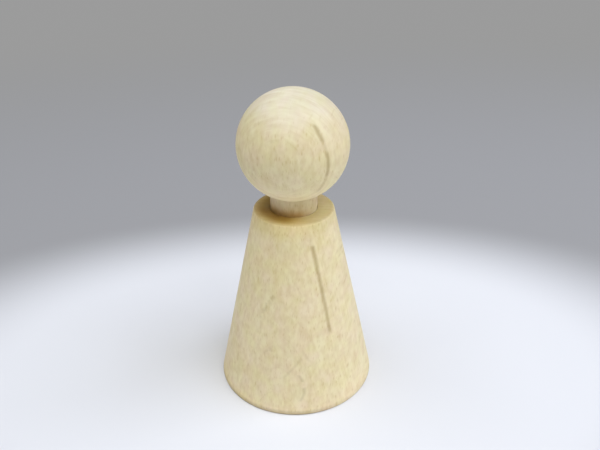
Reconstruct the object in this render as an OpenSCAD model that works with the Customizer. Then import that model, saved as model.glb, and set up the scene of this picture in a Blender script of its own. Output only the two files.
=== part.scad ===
// Peg doll: a turned cone body and a ball head, joined by a dowel that shows as the neck.
// Sizes are in millimetres. The origin is the centre of the foot, and the doll stands along +Z.

/* [Body] */
// Height of the cone body, from the foot to the flat shoulder
body_h = 55.5; // [40:0.5:80]
// Diameter of the foot, taken at its sharp corner
foot_d = 46; // [36:0.2:60]
// Diameter of the shoulder at the top of the cone, taken at its sharp corner
shoulder_d = 22.2; // [19:0.2:32]
// Rounding of the foot's edge
foot_round = 0.5; // [0.2:0.1:2]
// Rounding of the shoulder's edge
shoulder_round = 0.8; // [0.2:0.1:1.6]
// Width of the small cone that the lathe's centre leaves in the foot
centre_mark_d = 3; // [1.5:0.5:6]
// Depth of that small cone
centre_mark_h = 2; // [1:0.5:4]

/* [Head] */
// Diameter of the ball
head_d = 30; // [24:0.5:40]

/* [Neck] */
// Diameter of the dowel
neck_d = 13; // [8:0.5:15]
// Length of the dowel that shows between the shoulder and the head
neck_show = 4.7; // [2:0.1:15]
// Length of the dowel that is glued into the body
neck_in_body = 15; // [8:0.5:25]
// Length of the dowel that the head turns on
neck_in_head = 12; // [6:0.5:15]
// Chamfer of the dowel's two ends
neck_chamfer = 1; // [0.3:0.1:2]

/* [Sockets] */
// Radial room for glue around the dowel in the body
glue_gap = 0.05; // [0.02:0.01:0.15]
// Radial running clearance of the dowel in the head
turn_gap = 0.05; // [0.02:0.01:0.1]
// Room for glue under the dowel's lower end
glue_room = 0.5; // [0.2:0.1:2]
// Seat clearance over the dowel's upper end
seat_gap = 0.1; // [0.05:0.05:0.3]
// Broken edge at the mouth of each socket
mouth_break = 0.1; // [0.1:0.1:1]
// Depth of the drill's point at the end of each socket
drill_point_h = 3.5; // [1:0.5:5]

/* [Hidden] */
$fn = 96;

// Colours of raw beech: the cone, the dowel and the ball
body_colour = [0.87, 0.79, 0.63];
neck_colour = [0.83, 0.73, 0.58];
head_colour = [0.89, 0.81, 0.66];

// Chords in each rounded edge
round_steps = 6;
// How far a cut runs past the face that it opens
overrun = 1;

foot_r = foot_d / 2;
shoulder_r = shoulder_d / 2;
head_r = head_d / 2;
neck_r = neck_d / 2;
body_socket_r = neck_r + glue_gap;
head_socket_r = neck_r + turn_gap;
// Height at which the head's socket breaks through the ball
head_mouth_z = body_h + neck_show;
// Height of the ball's centre, over the circle where the socket breaks through
head_centre_z = head_mouth_z + sqrt(head_r * head_r - head_socket_r * head_socket_r);
// Height of the ball's cap that the socket takes away, below that circle
head_cap_h = head_r - (head_centre_z - head_mouth_z);
dowel_bottom_z = body_h - neck_in_body;
dowel_top_z = head_mouth_z + neck_in_head;

// Direction from point a to point b, one unit long
function toward(a, b) = (b - a) / norm(b - a);

// Points of a rounded corner at p, met from point a and left to point b, of radius r. The arc touches
// both edges, its centre lies on the corner's bisector, and each point is as far as r from it.
function rounded_corner(a, p, b, r) =
    let (
        to_a = toward(p, a),
        to_b = toward(p, b),
        half_angle = acos(to_a * to_b) / 2,
        bisector = toward([0, 0], to_a + to_b),
        centre = p + bisector * r / sin(half_angle),
        first = toward(centre, p + to_a * r / tan(half_angle)),
        last = toward(centre, p + to_b * r / tan(half_angle))
    )
    [for (i = [0:round_steps]) centre + r * toward([0, 0], first * (round_steps - i) + last * i)];

// Half section of the cone: foot, sloping side and flat shoulder, with its two edges rounded
function body_outline() =
    let (
        foot_centre = [0, 0],
        foot_corner = [foot_r, 0],
        shoulder_corner = [shoulder_r, body_h],
        shoulder_centre = [0, body_h]
    )
    concat(
        [foot_centre],
        rounded_corner(foot_centre, foot_corner, shoulder_corner, foot_round),
        rounded_corner(foot_corner, shoulder_corner, shoulder_centre, shoulder_round),
        [shoulder_centre]
    );

// A drilled hole that opens downwards, from its mouth at z = 0 up to the drill's point. The mouth's
// broken edge is a cone of 45 degrees, which runs on past the mouth down to z = -lead.
module socket(radius, depth, lead) {
    rotate_extrude()
        polygon([
            [0, -lead],
            [radius + mouth_break + lead, -lead],
            [radius, mouth_break],
            [radius, depth],
            [0, depth + drill_point_h]
        ]);
}

// The small cone that the lathe's centre leaves
module centre_mark() {
    slope = centre_mark_d / 2 / centre_mark_h;
    translate([0, 0, -overrun])
        cylinder(h = overrun + centre_mark_h, r1 = slope * (centre_mark_h + overrun), r2 = 0);
}

// Turned cone with the glued socket in its shoulder
module body() {
    color(body_colour)
        difference() {
            rotate_extrude()
                polygon(body_outline());
            translate([0, 0, body_h])
                mirror([0, 0, 1])
                    socket(body_socket_r, neck_in_body + glue_room, overrun);
            centre_mark();
        }
}

// Dowel with chamfered ends
module neck_dowel() {
    length = dowel_top_z - dowel_bottom_z;
    end_r = neck_r - neck_chamfer;
    color(neck_colour)
        translate([0, 0, dowel_bottom_z])
            rotate_extrude()
                polygon([
                    [0, 0],
                    [end_r, 0],
                    [neck_r, neck_chamfer],
                    [neck_r, length - neck_chamfer],
                    [end_r, length],
                    [0, length]
                ]);
}

// Turned ball with the socket that it turns on
module head() {
    color(head_colour)
        difference() {
            translate([0, 0, head_centre_z])
                sphere(r = head_r);
            translate([0, 0, head_mouth_z])
                socket(head_socket_r, neck_in_head + seat_gap, head_cap_h + overrun);
        }
}

body();
neck_dowel();
head();
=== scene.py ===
"""A peg doll of raw beech: a turned cone and a turned ball, joined by a dowel that shows as the neck."""

import math

import bpy
import numpy as np
from mathutils import Matrix, Vector


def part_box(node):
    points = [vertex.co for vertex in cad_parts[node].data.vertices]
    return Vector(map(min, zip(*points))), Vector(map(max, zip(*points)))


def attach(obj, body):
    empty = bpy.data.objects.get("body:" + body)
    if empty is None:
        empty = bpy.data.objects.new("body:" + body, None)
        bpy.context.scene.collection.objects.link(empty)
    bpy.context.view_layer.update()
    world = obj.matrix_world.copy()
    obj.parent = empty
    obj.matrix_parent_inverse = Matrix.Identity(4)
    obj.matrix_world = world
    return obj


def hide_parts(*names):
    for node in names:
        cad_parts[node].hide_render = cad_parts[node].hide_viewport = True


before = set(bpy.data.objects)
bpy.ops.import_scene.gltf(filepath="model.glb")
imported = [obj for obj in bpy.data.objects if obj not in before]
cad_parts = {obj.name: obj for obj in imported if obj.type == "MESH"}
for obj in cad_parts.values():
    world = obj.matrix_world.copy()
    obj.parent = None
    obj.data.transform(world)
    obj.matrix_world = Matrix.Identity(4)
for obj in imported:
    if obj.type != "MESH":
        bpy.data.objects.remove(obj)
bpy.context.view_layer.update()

MM = 0.001

# The camera that the photograph's outline gives, for a picture of 600 by 450
LENS_PX = 660.8
PICTURE_WIDTH_PX = 600
SENSOR_WIDTH = 36.0
CAMERA_DISTANCE = 184.98 * MM
CAMERA_ELEVATION = math.radians(29.07)
CAMERA_ROLL = math.radians(-0.65)
AIM = Vector((1.62, 0.0, 49.53)) * MM

# Edges and sockets, as the frame has them
FOOT_ROUND = 0.5 * MM
SHOULDER_ROUND = 0.8 * MM
CENTRE_MARK_RADIUS = 1.5 * MM
CENTRE_MARK_DEPTH = 2.0 * MM
NECK_CHAMFER = 1.0 * MM
SOCKET_GAP = 0.05 * MM
GLUE_ROOM = 0.5 * MM
SEAT_GAP = 0.1 * MM
MOUTH_BREAK = 0.1 * MM
DRILL_POINT = 3.5 * MM

# How near the shoulder's height a packed point counts as one of its flat
FLAT_TOLERANCE = 0.01 * MM

# Grid of the turned pieces
COLUMNS = 288
ROW_STEP = 0.5 * MM
EDGE_STEPS = 8
BALL_STEPS = 120
SHARP_ANGLE = math.radians(30)

# The wood's growth layers: they face LAYER_AZIMUTH, which goes from the front towards +X, lean back by
# LAYER_TILT, and bend round a pith that is 1 / (2 LAYER_BEND) millimetres behind the doll
LAYER_AZIMUTH = math.radians(-15)
LAYER_TILT = math.radians(4.5)
LAYER_BEND = 0.005

# Years in a millimetre at the axis, and how they crowd with the cube of the way through the layers
YEAR_RATE = 0.28
YEAR_CROWDING = 0.00045

# Albedos of the sanded beech, by piece, and the factors on them of its palest and darkest grain
CONE_COLOUR = (0.812, 0.704, 0.452)
DOWEL_COLOUR = (0.780, 0.655, 0.434)
BALL_COLOUR = (0.773, 0.671, 0.425)
PALE_GRAIN = (1.045, 1.055, 1.08)
DARK_GRAIN = (0.86, 0.80, 0.69)
WOOD_ROUGHNESS = 0.6
WOOD_IOR = 1.45

# Tint of the dark streak on the cone and on the ball, and its depth in millimetres
CONE_STREAK_TINT = (0.695, 0.65, 0.565)
BALL_STREAK_TINT = (0.685, 0.635, 0.55)
STREAK_DEPTH = 0.02

# Stage, in metres: the floor, its white to the light and as it shows, and the grey that it turns to
FLOOR_HALF_WIDTH = 3.0
FLOOR_COLOUR = (0.86, 0.875, 0.88)
SHOWN_FLOOR_COLOUR = (0.742, 0.752, 0.762)
BACKDROP_COLOUR = (0.33, 0.33, 0.33)

# The floor shows white in an ellipse round the doll, POOL_STRETCH times as wide along X as it is long
# along Y. Along Y its white turns to grey over POOL_EDGE, and its lit grey to the backdrop's over
# BACKDROP_EDGE.
POOL_STRETCH = 1.6
POOL_EDGE = (0.056, 0.102)
BACKDROP_EDGE = (0.13, 0.45)

# Light: the world's strength, and soft lamps of one size at one distance, each with its azimuth and
# elevation in degrees, its power in watts and its colour
WORLD_LIGHT = 0.165
NEUTRAL = (1.0, 1.0, 1.0)
COOL = (0.98, 1.0, 1.07)
COLD = (0.95, 1.0, 1.19)
LAMPS = (
    ("front", 0, 70, 5.95, NEUTRAL),
    ("window", 90, 50, 9.0, COLD),
    ("front_right", 45, 50, 6.5, COOL),
    ("left", -90, 70, 8.6, COOL),
)
LAMP_DISTANCE = 1.5
LAMP_SIZE = 0.9


def node_points(node):
    """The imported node's vertices, one row each, in metres."""
    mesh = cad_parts[node].data
    points = np.empty(len(mesh.vertices) * 3)
    mesh.vertices.foreach_get("co", points)
    return points.reshape(-1, 3)


_, body_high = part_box("body")
_, head_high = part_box("head")
dowel_low, dowel_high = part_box("neck_dowel")
body_h = body_high.z
foot_widest = body_high.x
body_points = node_points("body")
shoulder_points = body_points[body_points[:, 2] > body_h - FLAT_TOLERANCE]
shoulder_flat = np.hypot(shoulder_points[:, 0], shoulder_points[:, 1]).max()
neck_r = dowel_high.x
socket_r = neck_r + SOCKET_GAP
head_r = head_high.x
head_centre_z = head_high.z - head_r
head_mouth_z = head_centre_z - math.sqrt(head_r**2 - socket_r**2)
dowel_bottom_z = dowel_low.z
dowel_top_z = dowel_high.z


def arc(centre, radius, start, end, steps=EDGE_STEPS):
    """Points of an arc in the half section, centre + radius (cos a, sin a), with a from start to end."""
    angle = np.linspace(start, end, steps + 1)
    return np.array(centre) + radius * np.column_stack([np.cos(angle), np.sin(angle)])


def subdivided(points, step):
    """The same outline with points added along its straight stretches, no further apart than step."""
    rows = [points[:1]]
    for a, b in zip(points[:-1], points[1:]):
        count = max(1, math.ceil(np.linalg.norm(b - a) / step))
        rows.append(a + (b - a) * np.arange(1, count + 1)[:, None] / count)
    return np.vstack(rows)


def socket_outline(mouth_z, depth, inward):
    """The half section of a drilled hole, from its mouth to the drill's point. It runs up where inward
    is 1 and down where it is -1."""
    return np.array(
        [
            [socket_r, mouth_z + inward * MOUTH_BREAK],
            [socket_r, mouth_z + inward * depth],
            [0.0, mouth_z + inward * (depth + DRILL_POINT)],
        ]
    )


def cone_outline():
    """The cone's half section, from the lathe's mark in the foot, round the outside, to the socket's
    end. The sloping side touches both edge arcs, so its lean is that of the line through their centres
    plus asin of the difference of their radii over their distance."""
    foot_centre = np.array([foot_widest - FOOT_ROUND, FOOT_ROUND])
    shoulder_centre = np.array([shoulder_flat, body_h - SHOULDER_ROUND])
    apart = shoulder_centre - foot_centre
    lean = math.atan2(-apart[0], apart[1])
    lean += math.asin((FOOT_ROUND - SHOULDER_ROUND) / np.linalg.norm(apart))
    return np.vstack(
        [
            [[0.0, CENTRE_MARK_DEPTH], [CENTRE_MARK_RADIUS, 0.0]],
            arc(foot_centre, FOOT_ROUND, -math.pi / 2, lean),
            arc(shoulder_centre, SHOULDER_ROUND, lean, math.pi / 2),
            [[socket_r + MOUTH_BREAK, body_h]],
            socket_outline(body_h, body_h - dowel_bottom_z + GLUE_ROOM, -1),
        ]
    )


def ball_outline():
    """The ball's half section, from the socket's end, out at the neck and over to the crown. The mouth's
    broken edge is a cone of 45 degrees that meets the ball where r + z is the same on both."""
    reach = socket_r + MOUTH_BREAK + head_mouth_z - head_centre_z
    mouth_angle = -math.acos(reach / (head_r * math.sqrt(2))) + math.pi / 4
    hole = socket_outline(head_mouth_z, dowel_top_z - head_mouth_z + SEAT_GAP, 1)
    ball = arc((0.0, head_centre_z), head_r, mouth_angle, math.pi / 2, BALL_STEPS)
    ball[-1, 0] = 0.0
    return np.vstack([hole[::-1], ball])


def dowel_outline():
    """The dowel's half section, from its lower end to its upper one, with both ends chamfered."""
    end_r = neck_r - NECK_CHAMFER
    return np.array(
        [
            [0.0, dowel_bottom_z],
            [end_r, dowel_bottom_z],
            [neck_r, dowel_bottom_z + NECK_CHAMFER],
            [neck_r, dowel_top_z - NECK_CHAMFER],
            [end_r, dowel_top_z],
            [0.0, dowel_top_z],
        ]
    )


def turned(name, outline):
    """A turned piece. Point (i, j) is (r_i sin a_j, -r_i cos a_j, z_i), where (r_i, z_i) runs along the
    outline and a_j goes once round from the front. Both ends of the outline lie on the axis, and close
    there in one point."""
    rows = subdivided(outline, ROW_STEP)
    angle = np.arange(COLUMNS) * 2 * math.pi / COLUMNS
    r, z = rows[1:-1, 0, None], rows[1:-1, 1, None]
    grid = np.stack([r * np.sin(angle), -r * np.cos(angle), z + 0 * angle], axis=-1)
    points = np.vstack([[[0.0, 0.0, rows[0, 1]]], grid.reshape(-1, 3), [[0.0, 0.0, rows[-1, 1]]]])
    count = len(grid)
    here = np.arange(COLUMNS)
    after = (here + 1) % COLUMNS
    ring = 1 + COLUMNS * np.arange(count - 1)[:, None]
    sides = np.stack([ring + here, ring + after, ring + COLUMNS + after, ring + COLUMNS + here], axis=-1)
    last = 1 + COLUMNS * (count - 1)
    first_fan = np.stack([0 * here, 1 + after, 1 + here], axis=-1)
    last_fan = np.stack([0 * here + len(points) - 1, last + here, last + after], axis=-1)
    faces = sides.reshape(-1, 4).tolist() + first_fan.tolist() + last_fan.tolist()
    mesh = bpy.data.meshes.new(name)
    mesh.from_pydata(points, [], faces)
    mesh.shade_smooth()
    mesh.set_sharp_from_angle(angle=SHARP_ANGLE)
    piece = bpy.data.objects.new(name, mesh)
    bpy.context.scene.collection.objects.link(piece)
    return piece


class Value:
    """A socket of a surface's nodes. An expression on values and numbers adds its Math nodes."""

    def __init__(self, surface, socket):
        self.surface = surface
        self.socket = socket

    def __add__(self, other):
        return self.surface.math("ADD", self, other)

    def __sub__(self, other):
        return self.surface.math("SUBTRACT", self, other)

    def __rsub__(self, other):
        return self.surface.math("SUBTRACT", other, self)

    def __mul__(self, other):
        return self.surface.math("MULTIPLY", self, other)

    def __truediv__(self, other):
        return self.surface.math("DIVIDE", self, other)

    def __pow__(self, exponent):
        return self.surface.math("POWER", self, exponent)

    def __abs__(self):
        return self.surface.math("ABSOLUTE", self)

    __radd__ = __add__
    __rmul__ = __mul__

    def rises(self, low, high):
        """0 up to low and 1 from high on, with a smooth step between. It falls where high is below
        low."""
        sockets = {"Value": self, "From Min": low, "From Max": high}
        return self.surface.node("ShaderNodeMapRange", {"interpolation_type": "SMOOTHSTEP"}, sockets)

    def beside(self, name):
        """The named output of the node that this value comes out of."""
        return Value(self.surface, self.socket.node.outputs[name])


class Surface:
    """A material or a world that is built node by node."""

    def __init__(self, owner):
        self.owner = owner
        owner.use_nodes = True
        self.tree = owner.node_tree
        self.tree.nodes.clear()

    def node(self, kind, settings=None, inputs=None, output=0):
        """Adds a node of a kind, makes its settings, then fills its sockets, each by its name or number,
        with a number, a tuple or a Value, and gives the Value of one output."""
        node = self.tree.nodes.new(kind)
        for name, value in (settings or {}).items():
            setattr(node, name, value)
        for key, value in (inputs or {}).items():
            if isinstance(value, Value):
                self.tree.links.new(value.socket, node.inputs[key])
            else:
                node.inputs[key].default_value = value
        return Value(self, node.outputs[output]) if node.outputs else None

    def math(self, operation, *operands):
        return self.node("ShaderNodeMath", {"operation": operation}, dict(enumerate(operands)))

    def dot(self, vector, axis):
        """The dot product of a vector with a fixed axis."""
        settings = {"operation": "DOT_PRODUCT"}
        return self.node("ShaderNodeVectorMath", settings, {0: vector, 1: axis}, "Value")

    def vector(self, x, y, z):
        return self.node("ShaderNodeCombineXYZ", {}, {"X": x, "Y": y, "Z": z})

    def noise(self, vector, detail):
        """Smooth noise of about 0.5, one unit across."""
        return self.node("ShaderNodeTexNoise", {}, {"Vector": vector, "Scale": 1.0, "Detail": detail})

    def mixed(self, factor, first, second, blend="MIX"):
        """The first colour, blended with the second by the factor. A Mix node keeps its two colours in
        inputs 6 and 7 and gives a colour from output 2."""
        sockets = {0: factor, 6: first, 7: second}
        return self.node("ShaderNodeMix", {"data_type": "RGBA", "blend_type": blend}, sockets, 2)

    def tinted(self, colour, mask, tint):
        """The colour, multiplied by the tint where the mask is 1."""
        return self.mixed(mask, colour, (*tint, 1), "MULTIPLY")


class Wood:
    """Sanded beech in one growth: places in it are measured in millimetres through the growth layers,
    across them and along the fibre. Its layer number is the way through them, plus LAYER_BEND times the
    square of the way across, because they bend round the pith, plus a slow wander."""

    def __init__(self, name, colour):
        self.surface = Surface(bpy.data.materials.new(name))
        self.place = self.surface.node("ShaderNodeTexCoord", output="Object")
        sin_a, cos_a = math.sin(LAYER_AZIMUTH), math.cos(LAYER_AZIMUTH)
        sin_t, cos_t = math.sin(LAYER_TILT), math.cos(LAYER_TILT)
        self.fibre = np.array([-sin_a * sin_t, cos_a * sin_t, cos_t])
        through = self.along_axis((sin_a * cos_t, -cos_a * cos_t, sin_t))
        self.across = self.along_axis((cos_a, sin_a, 0))
        self.along = self.along_axis(self.fibre)
        self.x = self.along_axis((1, 0, 0))
        self.y = self.along_axis((0, 1, 0))
        self.z = self.along_axis((0, 0, 1))
        wander = (self.noise(12, 12, 40, 2, through) - 0.5) * 0.8
        self.layer = through + LAYER_BEND * self.across**2 + wander
        self.radius = (self.x**2 + self.y**2) ** 0.5
        self.azimuth = self.surface.math("ARCTAN2", self.x, -1 * self.y) * math.degrees(1)
        self.grain(colour)

    def along_axis(self, axis):
        """Millimetres along an axis, from the origin."""
        return self.surface.dot(self.place, tuple(np.array(axis) / MM))

    def noise(self, across, through, along, detail, layer=None):
        """Noise of about 0.5, with a size in millimetres in each of the wood's directions. Another
        layer number gives it another pattern."""
        layer = layer or self.layer
        place = self.surface.vector(self.across / across, layer / through, self.along / along)
        return self.surface.noise(place, detail)

    def grain(self, colour):
        """The beech itself, from pale at depth 0 to dark at depth 1. Years differ a little in tone and
        end in a thin darker line that comes and goes, with finer lines between. Rays are short dark
        flecks, lens-shaped, thin across and long through the layers. Pores are fine dashes along the
        fibre. A soft figure runs along the fibre where the surface follows it, and gives way to rings
        along the layers where the surface cuts across it. Mottles shift the colour between yellow and
        pink and between warm and grey."""
        surface = self.surface
        normal = surface.node("ShaderNodeTexCoord", output="Normal")
        cut_across = abs(surface.dot(normal, tuple(self.fibre)))
        end_grain = cut_across.rises(0.4, 0.95)
        sloped = cut_across.rises(0.2, 0.75)
        years = YEAR_RATE * self.layer + YEAR_CROWDING * self.layer**3
        sockets = {"W": years, "Scale": 1.0, "Randomness": 0.85}
        tone = surface.node("ShaderNodeTexVoronoi", {"voronoi_dimensions": "1D"}, sockets, "Color")
        settings = {"voronoi_dimensions": "1D", "feature": "DISTANCE_TO_EDGE"}
        edge = surface.node("ShaderNodeTexVoronoi", settings, sockets).rises(0.05, 0.0)
        late = edge * self.noise(4, 9, 6, 1).rises(0.4, 0.6)
        lines = self.noise(3.5, 0.5, 5, 1) - 0.5
        figure = self.noise(0.95, 4, 2.1, 1) - 0.5
        rings = self.noise(5, 1.1, 10, 1) - 0.5
        bent = self.across + (self.noise(3, 9, 4, 1) - 0.5) * 1.2
        drift = self.along + (self.noise(5, 6, 9, 1) - 0.5) * 5
        sockets = {"Vector": surface.vector(bent / 0.6, drift / 2.1, 0), "Scale": 1.0}
        cell = surface.node("ShaderNodeTexVoronoi", {"voronoi_dimensions": "2D"}, sockets)
        chance = cell.beside("Color")
        reach = self.noise(0.7, 3.5, 2.5, 1).rises(0.36, 0.54)
        ray = cell.rises(0.36, 0.08) * chance.rises(0.2, 0.9) * reach * (1 - 0.7 * end_grain)
        pore = self.noise(0.11, 0.3, 1.3, 1).rises(0.58, 0.74)
        mottle = self.noise(4, 4, 8, 2).rises(0.3, 0.7) - 0.5
        depth = 0.27 + 0.1 * (tone - 0.5) + 0.2 * late + 0.56 * ray + 0.08 * pore + 0.2 * mottle
        depth += (0.72 - 0.36 * end_grain) * lines + (1.2 - sloped) * figure + 1.05 * sloped * rings
        pale = tuple(c * f for c, f in zip(colour, PALE_GRAIN))
        dark = tuple(c * f for c, f in zip(colour, DARK_GRAIN))
        beech = surface.mixed(depth, (*pale, 1), (*dark, 1))
        hue = self.noise(4, 6, 5, 2, self.layer + 40).rises(0.3, 0.7)
        warmth = self.noise(4, 6, 5, 2, self.layer + 80).rises(0.3, 0.7)
        beech = surface.tinted(beech, hue, (0.99, 1.0, 0.935))
        beech = surface.tinted(beech, 1 - hue, (1.0, 0.965, 0.985))
        self.colour = surface.tinted(beech, warmth, (1.0, 1.0, 0.93))
        self.height = -0.012 * ray - 0.008 * pore
        self.roughness = WOOD_ROUGHNESS - 0.1 * ray + 0.08 * mottle

    def faces(self, azimuth, wide, narrow):
        """1 within narrow degrees of an azimuth and 0 beyond wide degrees of it."""
        a = math.radians(azimuth)
        cosine = (math.sin(a) * self.x - math.cos(a) * self.y) / self.radius
        return cosine.rises(math.cos(math.radians(wide)), math.cos(math.radians(narrow)))

    def tint(self, mask, tint):
        """Multiplies the colour by a tint where the mask is 1."""
        self.colour = self.surface.tinted(self.colour, mask, tint)

    def streak(self, azimuth, along, half_width, tint, depth=0.0):
        """A soft dark streak in the wood. Its middle runs at an azimuth, in degrees, which is given as a
        value, and wavers a little with the height. along is 1 on its length and 0 beyond its ends. Half
        its width, at half its strength, and its depth are in millimetres."""
        waver = (self.surface.noise(self.surface.vector(0, 0, self.z / 1.6), 2) - 0.5) * 0.35
        off = abs((self.azimuth - azimuth) * self.radius * math.radians(1) + waver)
        mask = off.rises(half_width * 2, 0) * along
        self.tint(mask, tint)
        self.height = self.height - depth * mask

    def year_line(self, layer, where, half_width, tint):
        """A line that one growth layer, given by its number, leaves on the surface. It shows where the
        mask is 1, with gaps, and half its width is in millimetres through the layers."""
        off = abs(self.layer + (self.noise(2, 5, 2, 1) - 0.5) * 0.4 - layer)
        shown = self.noise(1.8, 5, 1.8, 2).rises(0.32, 0.56)
        self.tint(off.rises(half_width * 2, 0) * shown * where, tint)

    def finished(self):
        """The material, with its nodes joined to their shader."""
        surface = self.surface
        sockets = {"Strength": 1.0, "Distance": MM, "Height": self.height}
        sockets = {
            "Base Color": self.colour,
            "Roughness": self.roughness,
            "IOR": WOOD_IOR,
            "Normal": surface.node("ShaderNodeBump", {}, sockets),
        }
        shader = surface.node("ShaderNodeBsdfPrincipled", {}, sockets)
        surface.node("ShaderNodeOutputMaterial", {}, {"Surface": shader})
        return surface.owner


def between(value, low, high, soft):
    """1 from low to high, with soft steps outside."""
    return value.rises(low - soft, low) * value.rises(high + soft, high)


def cone_beech():
    """The cone: a streak down the front right, the lines of a few years on the left, three faint marks
    on the lower front, a rim with painted shade and a painted highlight, darker end grain on the
    shoulder with a painted shadow round the neck, and painted shade along the foot's edge.
    Heights and radii are in millimetres, and azimuths in degrees from the front towards +X."""
    wood = Wood("beech_cone", CONE_COLOUR)
    z, radius = wood.z, wood.radius

    # Streak, which is faint at its upper end
    middle = 29.676 + 0.311 * z - 0.00941 * z**2
    length = z.rises(23.0, 24.6) * (0.8 * z.rises(49.8, 49.0) + 0.2 * z.rises(52.0, 51.0))
    wood.streak(middle, length, 0.52, CONE_STREAK_TINT, STREAK_DEPTH)

    # Years on the left: a pale one, and two dark ones
    left = wood.azimuth.rises(-18, -24)
    wood.year_line(18.9, left * z.rises(29, 26), 0.16, (1.05, 1.06, 1.07))
    wood.year_line(18.25, left * between(z, 29, 35, 1.5), 0.14, (0.85, 0.83, 0.78))
    wood.year_line(20.2, left * between(z, 18.5, 21, 1), 0.11, (0.88, 0.86, 0.82))

    # Faint marks on the lower front: two that slant opposite ways, and one that bows
    wood.streak(0.8 + (z - 16.2) * 2.4, between(z, 12.5, 16.5, 1.5), 0.45, (0.91, 0.895, 0.86))
    wood.streak(6.5 - (z - 19.2) * 1.6, between(z, 17, 19.5, 1), 0.45, (0.92, 0.905, 0.87))
    bow = between(z, 10.8, 12.3, 0.6) + between(z, 5.0, 8.2, 0.9)
    wood.streak(5.6 - (z - 8.3) ** 2 * 0.22, bow, 0.42, (0.85, 0.83, 0.79))

    # Rim under the shoulder: yellower, with painted shade on its sides and a painted highlight at its
    # front, and the front left below it
    rim = z.rises(50, 55)
    wood.tint(rim, (0.99, 0.96, 0.84))
    wood.tint(rim * wood.faces(75, 70, 25), (0.93, 0.96, 0.94))
    wood.tint(rim * wood.faces(-85, 60, 15), (0.95, 0.92, 0.92))
    wood.tint(rim * wood.faces(-6, 34, 8), (1.045, 1.03, 1.0))
    wood.tint(z.rises(34, 46) * wood.faces(-25, 85, 20), (0.99, 0.985, 0.94))

    # Shoulder: end grain, darker all over, with painted shadow of the ball and neck round the neck,
    # darkest at the front left
    shoulder = z.rises(body_h / MM - 0.4, body_h / MM - 0.05)
    wood.tint(shoulder, (0.80, 0.78, 0.73))
    wood.tint(shoulder * radius.rises(11.6, 8.4) * wood.faces(-80, 118, 60), (0.87, 0.79, 0.44))
    wood.tint(shoulder * radius.rises(11.2, 8.0) * wood.faces(-46, 54, 20), (0.74, 0.63, 0.51))
    wood.tint(shoulder * radius.rises(12.0, 8.0) * wood.faces(-122, 64, 20), (0.80, 0.76, 0.66))
    wood.tint(shoulder * radius.rises(10.5, 7.4) * wood.faces(-112, 48, 15), (0.85, 0.85, 0.95))

    # Lower end: paler towards the foot, with painted light on the right, and painted shade along the
    # foot's edge that is faint on the right
    wood.tint(z.rises(9, 1.5), (1.035, 1.02, 1.05))
    wood.tint(z.rises(16, 4) * wood.faces(64, 40, 12), (1.03, 1.035, 1.06))
    wood.tint(z.rises(1.9, 0.4) * (1 - 0.6 * wood.faces(75, 70, 20)), (0.71, 0.68, 0.66))
    wood.tint(z.rises(3.5, 1.0) * wood.faces(-70, 60, 20), (0.99, 0.985, 0.88))
    return wood.finished()


def dowel_beech():
    """The dowel, with painted shadow of the ball and neck at the front left of its foot. up is the
    height over the shoulder in millimetres."""
    wood = Wood("beech_dowel", DOWEL_COLOUR)
    up = wood.z - body_h / MM
    # Painted shadow of the ball and neck, darkest at the front left of the foot
    painted_shadow_side = wood.faces(-30, 82, 22)
    wood.tint(up.rises(4.0, 1.5) * painted_shadow_side, (0.98, 0.94, 0.82))
    wood.tint(up.rises(2.4, 0.3) * painted_shadow_side, (0.775, 0.635, 0.41))
    return wood.finished()


def ball_beech():
    """The ball: a painted sheen that makes its crown bluer and less yellow, painted light at its bottom,
    painted light and shade on its sides, a streak on the front right that is faint in two places and
    the lines of two years. up is the height over the ball's centre in millimetres, and azimuths are in
    degrees from the front towards +X."""
    wood = Wood("beech_ball", BALL_COLOUR)
    up = wood.z - head_centre_z / MM

    # Crown with a painted sheen, bottom with painted light, and sides with painted light and shade
    wood.tint(up.rises(0, head_r / MM) ** 2, (0.91, 0.97, 1.20))
    wood.tint(up.rises(-7, -12), (1.07, 1.06, 1.11))
    wood.tint(up.rises(0, -8) * wood.faces(45, 75, 20), (1.03, 1.035, 1.035))
    wood.tint(up.rises(1, 9) * wood.faces(65, 85, 25), (0.965, 0.965, 0.955))
    wood.tint(up.rises(-2, 7) * wood.faces(-65, 75, 25), (1.035, 1.04, 1.02))

    # Years over the front and over the left
    wood.year_line(19.8, up.rises(2, 4) * wood.azimuth.rises(16, 8), 0.18, (0.95, 0.94, 0.91))
    wood.year_line(17.0, up.rises(5, 7) * wood.azimuth.rises(-10, -30), 0.18, (0.95, 0.94, 0.91))

    # Streak, which is strong along two of its stretches
    middle = 35.016 - 0.2008 * up - 0.0879 * up**2 + 0.000236 * up**3
    strong = between(up, 6.0, 8.9, 1.0) + between(up, -3.2, 2.2, 1.2)
    length = between(up, -8.4, 8.9, 1.0) * (0.4 + 0.6 * strong)
    wood.streak(middle, length, 0.48, BALL_STREAK_TINT, STREAK_DEPTH)
    return wood.finished()


def add_camera():
    """The photograph's camera: it looks at AIM from the front, down by its elevation, and is rolled a
    little."""
    back = Vector((0, -math.cos(CAMERA_ELEVATION), math.sin(CAMERA_ELEVATION)))
    eye = Vector((0, 0, AIM.z)) + CAMERA_DISTANCE * back
    forward = (AIM - eye).normalized()
    level = forward.cross(Vector((0, 0, 1))).normalized()
    upright = level.cross(forward)
    right = math.cos(CAMERA_ROLL) * level + math.sin(CAMERA_ROLL) * upright
    up = math.cos(CAMERA_ROLL) * upright - math.sin(CAMERA_ROLL) * level
    data = bpy.data.cameras.new("photo_camera")
    data.sensor_width = SENSOR_WIDTH
    data.lens = SENSOR_WIDTH * LENS_PX / PICTURE_WIDTH_PX
    data.clip_start = 1 * MM
    camera = bpy.data.objects.new("photo_camera", data)
    camera.matrix_world = Matrix.Translation(eye) @ Matrix((right, up, -forward)).transposed().to_4x4()
    bpy.context.scene.collection.objects.link(camera)
    bpy.context.scene.camera = camera


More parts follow.
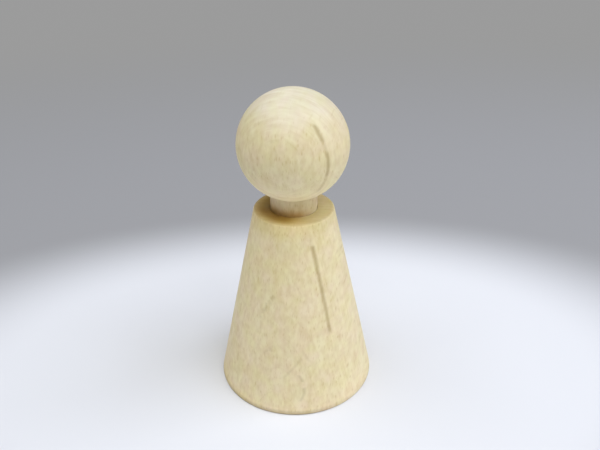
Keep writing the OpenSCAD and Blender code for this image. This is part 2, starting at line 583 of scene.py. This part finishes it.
def add_lamp(name, azimuth, elevation, power, colour):
    """A soft square lamp that faces the doll. Azimuth goes from the front towards +X, in degrees."""
    a, e = math.radians(azimuth), math.radians(elevation)
    direction = Vector((math.sin(a) * math.cos(e), -math.cos(a) * math.cos(e), math.sin(e)))
    data = bpy.data.lights.new(name, "AREA")
    data.size = LAMP_SIZE
    data.energy = power
    data.color = colour
    lamp = bpy.data.objects.new(name, data)
    lamp.location = Vector((0, 0, body_h)) + LAMP_DISTANCE * direction
    lamp.rotation_euler = direction.to_track_quat("Z", "Y").to_euler()
    bpy.context.scene.collection.objects.link(lamp)


def seen_ray(surface):
    """1 for a ray of the camera, or of a gloss or a glass that shows the background, and 0 for light."""
    camera = surface.node("ShaderNodeLightPath", output="Is Camera Ray")
    glossy, through = camera.beside("Is Glossy Ray"), camera.beside("Is Transmission Ray")
    return surface.math("MAXIMUM", surface.math("MAXIMUM", camera, glossy), through)


def floor_white():
    """Pale floor. To the light it is white all over. To the camera it is white round the doll, with the
    doll's shadow, and away from it turns to the backdrop's grey, so the floor has no edge."""
    surface = Surface(bpy.data.materials.new("floor_white"))
    place = surface.node("ShaderNodeTexCoord", output="Object")
    x = surface.dot(place, (1, 0, 0))
    y = surface.dot(place, (0, 1, 0))
    radius = ((x / POOL_STRETCH) ** 2 + y**2) ** 0.5
    grey = (*BACKDROP_COLOUR, 1)
    paper = surface.mixed(radius.rises(*POOL_EDGE), (*SHOWN_FLOOR_COLOUR, 1), grey)
    near = surface.node("ShaderNodeBsdfDiffuse", {}, {"Color": paper})
    far = surface.node("ShaderNodeEmission", {}, {"Color": grey, "Strength": 1.0})
    shown = surface.node("ShaderNodeMixShader", {}, {0: radius.rises(*BACKDROP_EDGE), 1: near, 2: far})
    lit = surface.node("ShaderNodeBsdfDiffuse", {}, {"Color": (*FLOOR_COLOUR, 1)})
    mix = surface.node("ShaderNodeMixShader", {}, {0: seen_ray(surface), 1: lit, 2: shown})
    surface.node("ShaderNodeOutputMaterial", {}, {"Surface": mix})
    return surface.owner


def add_floor():
    """A wide pale floor at the foot's height."""
    near, far = -FLOOR_HALF_WIDTH, FLOOR_HALF_WIDTH
    corners = [(near, near, 0), (far, near, 0), (far, far, 0), (near, far, 0)]
    mesh = bpy.data.meshes.new("floor")
    mesh.from_pydata(corners, [], [(0, 1, 2, 3)])
    floor = bpy.data.objects.new("floor", mesh)
    mesh.materials.append(floor_white())
    bpy.context.scene.collection.objects.link(floor)


def add_world():
    """Faint even light, with the backdrop's grey behind everything."""
    world = bpy.data.worlds.new("studio")
    bpy.context.scene.world = world
    surface = Surface(world)
    sockets = {"Color": (*NEUTRAL, 1), "Strength": WORLD_LIGHT}
    light = surface.node("ShaderNodeBackground", {}, sockets)
    sockets = {"Color": (*BACKDROP_COLOUR, 1), "Strength": 1.0}
    backdrop = surface.node("ShaderNodeBackground", {}, sockets)
    mix = surface.node("ShaderNodeMixShader", {}, {0: seen_ray(surface), 1: light, 2: backdrop})
    surface.node("ShaderNodeOutputWorld", {}, {"Surface": mix})


add_camera()
cone = turned("turned_cone", cone_outline())
dowel = turned("turned_dowel", dowel_outline())
ball = turned("turned_ball", ball_outline())
for piece, node, body, slot, material in (
    (cone, "body", "body", "beech_cone", cone_beech()),
    (dowel, "neck_dowel", "body", "beech_dowel", dowel_beech()),
    (ball, "head", "head", "beech_ball", ball_beech()),
):
    piece.data.materials.append(material)
    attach(piece, body)
    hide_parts(node)

add_floor()
for lamp in LAMPS:
    add_lamp(*lamp)
add_world()
bpy.context.scene.view_settings.view_transform = "Standard"
